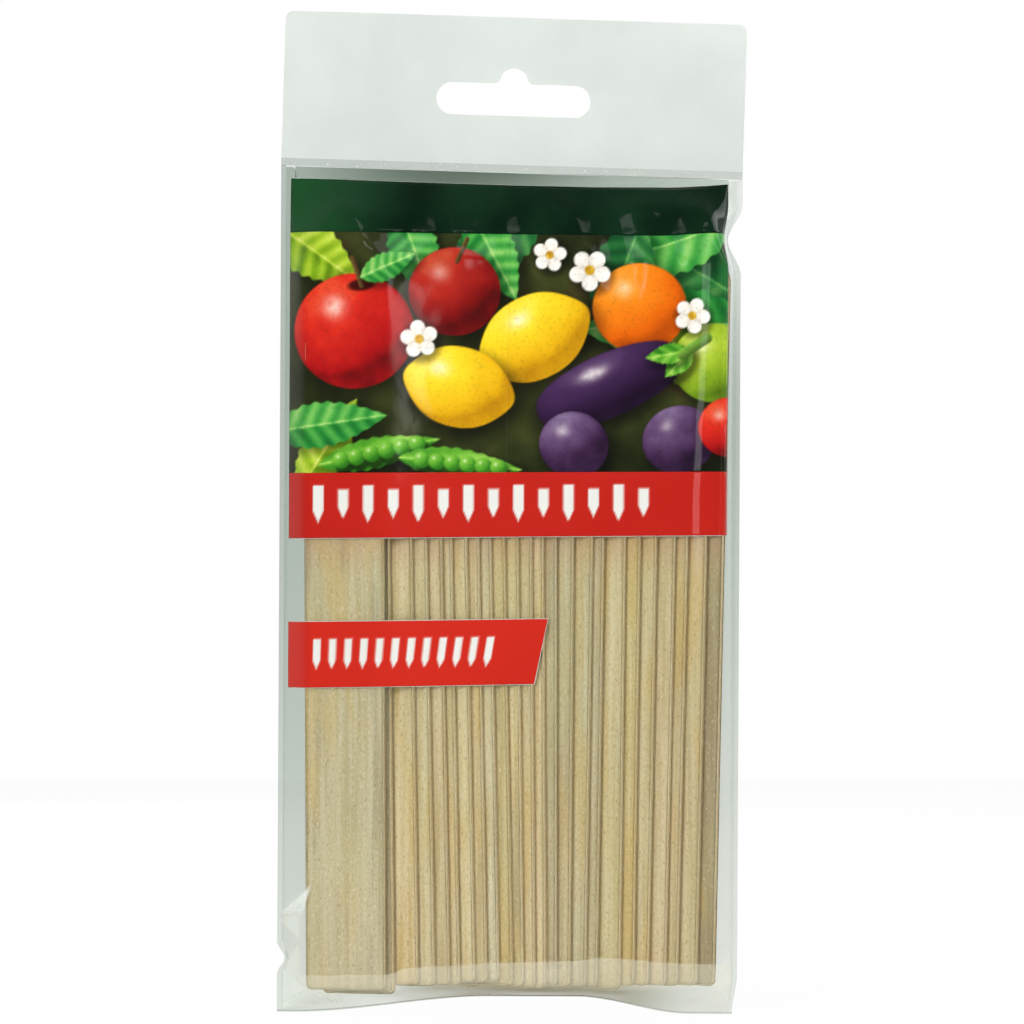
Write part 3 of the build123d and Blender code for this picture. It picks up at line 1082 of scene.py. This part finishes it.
def leaf(canvas, x, z, base, angle, length, width, colours, seed, veins=7):
    """A leaf with a midrib and side veins."""
    along, aside = turned(x, z, base, angle)
    turn = math.radians(angle)
    reach = length / 2
    under = (base[0] + reach * math.cos(turn) + 0.8, base[1] + reach * math.sin(turn) - 1)
    shade(canvas, x, z, under, (reach, width / 2), angle, 0.35)
    share = along / length
    inside = np.clip(share, 0, 1)
    half = width / 2 * np.sin(math.pi * inside ** 0.8) ** 0.9
    half = half * (1 + 0.05 * np.sin(inside * 60 + seed))
    away = np.abs(aside)
    ripple = np.sin((share * veins - away / width * 1.6) * 2 * math.pi)
    level = 0.45 + 0.16 * ripple + 0.4 * (cloud(x, z, 4.0, seed) - 0.5)
    level += np.where(aside > 0, 0.16, -0.1)
    level += 0.35 * np.exp(-(away / 0.28) ** 2)
    within = (share > 0) & (share < 1)
    body = ramp(np.clip(level, 0, 1), *colours)
    cover(canvas, within * ((half - away) / soft_edge + 0.3), body)


def stalk(canvas, x, z, start, end, width, colour):
    """A straight stalk with round ends."""
    run = np.subtract(end, start)
    length = math.hypot(*run)
    along, aside = turned(x, z, start, math.degrees(math.atan2(run[1], run[0])))
    away = np.hypot(np.maximum(np.maximum(-along, along - length), 0), aside)
    body = np.asarray(colour, float) * (1 + 0.35 * np.clip(aside / width * 2, -1, 1))[:, None]
    cover(canvas, (width / 2 - away) / soft_edge + 0.5, body)


def blossom(canvas, x, z, centre, radius, turn, seed):
    """A small flower with five rounded petals."""
    right, up = turned(x, z, centre, 0)
    away = np.hypot(right, up) / radius
    swing = np.arctan2(up, right) + turn
    reach = 0.62 + 0.38 * np.abs(np.cos(2.5 * swing)) ** 0.7
    shade(canvas, x, z, (centre[0] + 0.5, centre[1] - 0.7), (radius, radius), 0, 0.45)
    level = 0.55 + 0.35 * np.abs(np.cos(2.5 * swing)) - 0.35 * (1 - away)
    level += 0.2 * (cloud(x, z, 1.2, seed) - 0.5)
    body = ramp(np.clip(level, 0, 1), (176, 168, 150), (232, 226, 214), (252, 250, 244))
    cover(canvas, (reach - away) * radius / soft_edge + 0.5, body)
    heart = ramp(cloud(x, z, 0.6, seed + 3), (170, 120, 20), (236, 196, 60))
    cover(canvas, (0.24 - away) * radius / soft_edge + 0.5, heart)


APPLE = ((70, 8, 12), (170, 20, 22), (214, 44, 30), (238, 110, 60))
DARK_APPLE = ((50, 8, 10), (128, 18, 18), (176, 40, 30), (214, 120, 70))
LEMON = ((150, 96, 8), (226, 172, 20), (250, 214, 40), (255, 236, 110))
PLUM = ((22, 12, 28), (58, 34, 66), (96, 70, 108), (150, 132, 164))
AUBERGINE = ((16, 8, 22), (40, 20, 50), (66, 40, 80), (120, 96, 134))
ORANGE = ((130, 44, 4), (222, 98, 10), (244, 136, 26), (255, 178, 80))
GREEN_APPLE = ((50, 80, 14), (120, 156, 30), (168, 196, 52), (214, 226, 110))
BRIGHT_LEAF = ((16, 84, 34), (40, 134, 52), (92, 176, 76), (170, 214, 120))
DARK_LEAF = ((10, 46, 24), (24, 88, 42), (50, 122, 58), (110, 168, 90))
YOUNG_LEAF = ((70, 110, 16), (128, 168, 30), (176, 204, 56), (222, 232, 120))
POD = ((24, 84, 20), (62, 140, 34), (112, 180, 56), (170, 214, 100))


def pod(canvas, x, z, start, angle, seed):
    """A pod with six peas."""
    turn = math.radians(angle)
    leaf(canvas, x, z, start, angle, 25, 6.2, POD, seed, 1)
    for step in range(6):
        reach = 4.6 + 3.1 * step
        pea = (start[0] + reach * math.cos(turn), start[1] + reach * math.sin(turn))
        ball(canvas, x, z, pea, (1.7, 1.65), 0, POD, seed + step, 0.1, 0.6)


PICTURE = (
    (leaf, (92, 34), 150, 34, 14, DARK_LEAF, 21),
    (leaf, (90, 50), 196, 32, 13, BRIGHT_LEAF, 22),
    (leaf, (50, 52), 215, 24, 12, DARK_LEAF, 23),
    (leaf, (70, 50), 250, 24, 12, DARK_LEAF, 28),
    (leaf, (92, 30), 182, 34, 15, BRIGHT_LEAF, 24),
    (leaf, (86, 16), 132, 30, 12, YOUNG_LEAF, 25),
    (leaf, (-4, 50), -35, 22, 11, YOUNG_LEAF, 26),
    (leaf, (22, 52), -70, 18, 10, BRIGHT_LEAF, 27),
    (leaf, (36, 52), -62, 20, 10, BRIGHT_LEAF, 29),
    (ball, (33, 36), (9.2, 8.8), 0, DARK_APPLE, 31, 0.25, 0.5),
    (stalk, (33.5, 42.0), (35.5, 46.5), 0.9, (84, 60, 30)),
    (ball, (70, 33), (9.4, 9.0), 0, ORANGE, 32, 0.12, 0.6),
    (ball, (13, 28), (12.0, 11.4), 0, APPLE, 33, 0.3, 0.75),
    (shade, (14.5, 37.2), (2.6, 1.1), 8, 0.7),
    (stalk, (14.5, 37.0), (12.6, 42.5), 1.0, (90, 66, 34)),
    (leaf, (14.2, 38.6), 24, 12, 5.6, BRIGHT_LEAF, 34, 6),
    (ball, (85, 22), (8.5, 8.0), 0, GREEN_APPLE, 35, 0.2, 0.6),
    (ball, (49, 27), (12.2, 8.4), 28, LEMON, 36, 0.14, 0.7, 0.5),
    (ball, (34, 17), (11.4, 8.0), -14, LEMON, 37, 0.14, 0.7, 0.5),
    (ball, (78, 6.5), (7.4, 6.8), 20, PLUM, 42, 0.4, 0.5),
    (ball, (64, 17.5), (15.5, 6.4), 24, AUBERGINE, 43, 0.12, 0.9, -0.25),
    (leaf, (80.5, 25), 228, 8, 4.6, POD, 44, 3),
    (leaf, (80, 24.5), 190, 9, 4.2, POD, 45, 3),
    (stalk, (78.5, 23.6), (83.5, 27.0), 2.0, (96, 138, 50)),
    (ball, (57, 5.5), (7.0, 6.6), -20, PLUM, 46, 0.4, 0.5),
    (ball, (88, 9), (6.2, 6.0), 0, APPLE, 47, 0.3, 0.6),
    (leaf, (2, -4), 58, 22, 9, YOUNG_LEAF, 51),
    (leaf, (-4, 8), 8, 24, 9, BRIGHT_LEAF, 52),
    (pod, (6, 1.5), 12, 61),
    (pod, (22, 3.0), -6, 62),
    (blossom, (60, 40.5), 4.2, 0.3, 71),
    (blossom, (52, 43.5), 3.4, 1.1, 72),
    (blossom, (26, 26.5), 3.8, 0.8, 73),
    (blossom, (80.5, 31.5), 3.6, 0.1, 74),
)


def picture(x, z):
    """The colours of the printed picture at those places."""
    canvas = ramp(cloud(x, z, 9, 11), (16, 20, 10), (34, 40, 18), (60, 66, 30), (96, 70, 40))
    for draw, *values in PICTURE:
        draw(canvas, x, z, *values)
    return canvas


def stake_sign(canvas, x, z, middle, foot, wide, tall):
    """A plain white sign in the shape of a pointed label, its point down."""
    away = np.abs(x - middle)
    side = np.minimum(wide / 2 - away, foot + tall - z)
    point = (z - foot) * 0.45 - away
    cover(canvas, np.minimum(side, point) / soft_edge + 0.5, (226, 226, 220))


def red_band(x, z):
    """The band under the picture, with a row of signs."""
    canvas = ramp(cloud(x, z, 25, 81), (180, 30, 22), (192, 40, 30))
    for index in range(14):
        foot, tall = ((3.0, 7.4), (3.8, 5.8))[index % 2]
        stake_sign(canvas, x, z, 6.0 + 5.0 * index, foot, 2.1, tall)
    return canvas


def red_tag(x, z):
    """The tag, with signs for its two dozen labels."""
    canvas = ramp(cloud(x, z, 25, 82), (194, 39, 27), (204, 44, 31))
    for index in range(12):
        stake_sign(canvas, x, z, 6.0 + 3.2 * index, 3.6, 1.5, 6.0)
    return canvas


print_patch("print_base", "ink_white", "white_ink", WHITE_INK, base_lift, inset=keyline)
print_patch("print_green", "ink_green", "green_ink", GREEN_INK)
print_patch(
    "print_picture", "ink_picture", "picture_ink", PICTURE_INK, step=0.25 * MM, colours=picture,
    parts=2,
)
print_patch("print_red", "ink_red", "red_ink", BAND_INK, step=0.3 * MM, colours=red_band)
print_patch(
    "tag_base", "ink_tag_white", "white_ink", WHITE_INK, base_lift, tag_slant, inset=keyline
)
print_patch(
    "tag_red", "ink_tag_red", "red_ink", BAND_INK, slant=tag_slant, step=0.3 * MM, colours=red_tag
)

# Camera, at the photograph's scale: one pixel is 0.2 mm at the pack
photo_pixels = 1024
pixel = 0.2 * MM
hang_pixel = (514.5, 66.3)
camera_distance = 1.7
print_depth = 8 * MM
sensor = 36
camera = placed("camera", bpy.data.cameras.new("camera"))
view_across = (photo_pixels / 2 - hang_pixel[0]) * pixel
view_up = (hang_pixel[1] - photo_pixels / 2) * pixel
camera.location = (view_across, -camera_distance, view_up)
camera.rotation_euler = (math.radians(90), 0, 0)
camera.data.sensor_width = sensor
camera.data.lens = sensor * (camera_distance - print_depth) / (photo_pixels * pixel)
camera.data.clip_start = 0.05
camera.data.clip_end = 50
bpy.context.scene.camera = camera


# Lamps. Some light the pack, and others only show in the gloss of its film.
def lamp(name, place, size, power, tall=None, mirrored_only=False):
    """A lamp that is aimed at the pack's middle."""
    light = bpy.data.lights.new(name, "AREA")
    light.energy = power
    light.shape = "RECTANGLE"
    light.size = size
    light.size_y = tall or size
    made = placed(name, light)
    made.location = place
    made.rotation_euler = (centre - Vector(place)).to_track_quat("-Z", "Y").to_euler()
    made.visible_glossy = mirrored_only
    made.visible_diffuse = not mirrored_only


centre = Vector((0, 0, -0.09))
lamp("key", (-0.5, -1.0, 0.35), 0.5, 6)
lamp("fill", (1.0, -0.42, 0.05), 0.5, 4.6)
lamp("top", (0.0, -0.35, 0.75), 0.5, 2)
lamp("back", (-0.45, 1.0, 0.3), 0.6, 9)
sheen_distance = 1.2


def sheen(name, azimuth, elevation, wide, tall, glow):
    """A soft panel that only the film's gloss shows, at angles in degrees from the front."""
    turn = math.radians(azimuth)
    rise = math.radians(elevation)
    ahead = math.cos(rise)
    direction = Vector((math.sin(turn) * ahead, -math.cos(turn) * ahead, math.sin(rise)))
    width, height = 2 * sheen_distance * np.tan(np.radians((wide, tall)) / 2)
    power = glow * width * height * math.pi
    lamp(name, centre + sheen_distance * direction, width, power, height, True)


for name, wide, tall in (("sheen_rim", 30, 18), ("sheen_middle", 22, 13), ("sheen_core", 14, 8)):
    sheen(name, 24, 34, wide, tall, 10.5)
sheen("sheen_side", 108, 20, 30, 40, 7.5)
sheen("sheen_right", 16, 0, 8, 26, 21)


def background_share(tree):
    """1 for rays that show the background: straight on, in gloss or through glass."""
    path = add(tree, "ShaderNodeLightPath")
    share = path["Is Camera Ray"]
    for name in ("Is Glossy Ray", "Is Transmission Ray"):
        share = maths(tree, "MAXIMUM", share, path[name])
    return share


# World: a white background, and a soft grey for the light it gives
world = bpy.data.worlds.new("world")
bpy.context.scene.world = world
world.use_nodes = True
tree = world.node_tree
tree.nodes.clear()
soft = add(tree, "ShaderNodeBackground", Color=WHITE, Strength=0.36)[0]
bright = add(tree, "ShaderNodeBackground", Color=WHITE, Strength=1.0)[0]
add(tree, "ShaderNodeOutputWorld", Surface=layered(tree, background_share(tree), soft, bright))


# Floor
def floor_paint():
    """Nearly white to look at, so that only the pack's shadow shows on it."""
    material, tree, _ = blank("floor_paint")
    matt = add(tree, "ShaderNodeBsdfDiffuse", Color=(0.93, 0.93, 0.93, 1))[0]
    glow = add(tree, "ShaderNodeEmission", Color=WHITE, Strength=1.0)[0]
    output(tree, layered(tree, times(tree, background_share(tree), 0.96), matt, glow))
    return material


floor_level = cad_box[0][2] - 0.2 * MM
floor_bm = bmesh.new()
bmesh.ops.create_grid(floor_bm, x_segments=1, y_segments=1, size=1.5)
bmesh.ops.translate(floor_bm, verts=floor_bm.verts, vec=(0, 0, floor_level))
floor = shaped(floor_bm, "floor", floor_paint())

bpy.context.scene.view_settings.view_transform = "Standard"
